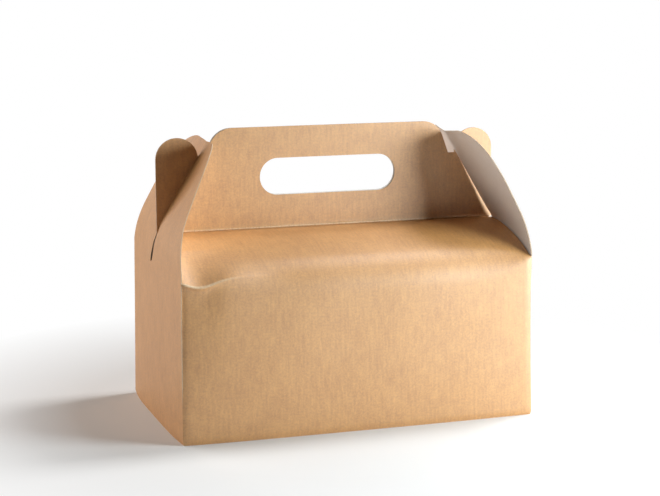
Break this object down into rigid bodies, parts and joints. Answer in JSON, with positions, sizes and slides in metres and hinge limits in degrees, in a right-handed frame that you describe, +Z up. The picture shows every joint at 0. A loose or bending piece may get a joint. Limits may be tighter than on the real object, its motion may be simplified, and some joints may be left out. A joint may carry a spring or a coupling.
{
  "type": "handled confectionery box",
  "caption": "Folded kraft board carton with a carrying handle along its ridge and bell-shaped end flaps that lock over the handle's lobes.",
  "frame": {"origin": "middle of the bottom, on the surface that the box stands on", "axes": "+X along the length of the box and its handle, +Y from the front wall to the back wall, +Z up"},
  "size_m": [0.24, 0.14, 0.193],
  "materials": {
    "kraft_board": "uncoated brown kraft board, fine fibres, dull"
  },
  "bodies": {
    "box": {"carton": "kraft_board"},
    "left_flap": {"left_end_flap": "kraft_board"},
    "right_flap": {"right_end_flap": "kraft_board"}
  },
  "joints": [
    {"name": "left_flap_hinge", "type": "hinge", "parent": "box", "child": "left_flap", "pos_m": [-0.1187, 0, 0.10785], "axis": [0, -1, 0], "range_deg": [0, 150]},
    {"name": "right_flap_hinge", "type": "hinge", "parent": "box", "child": "right_flap", "pos_m": [0.1187, 0, 0.10785], "axis": [0, 1, 0], "range_deg": [0, 150]}
  ]
}
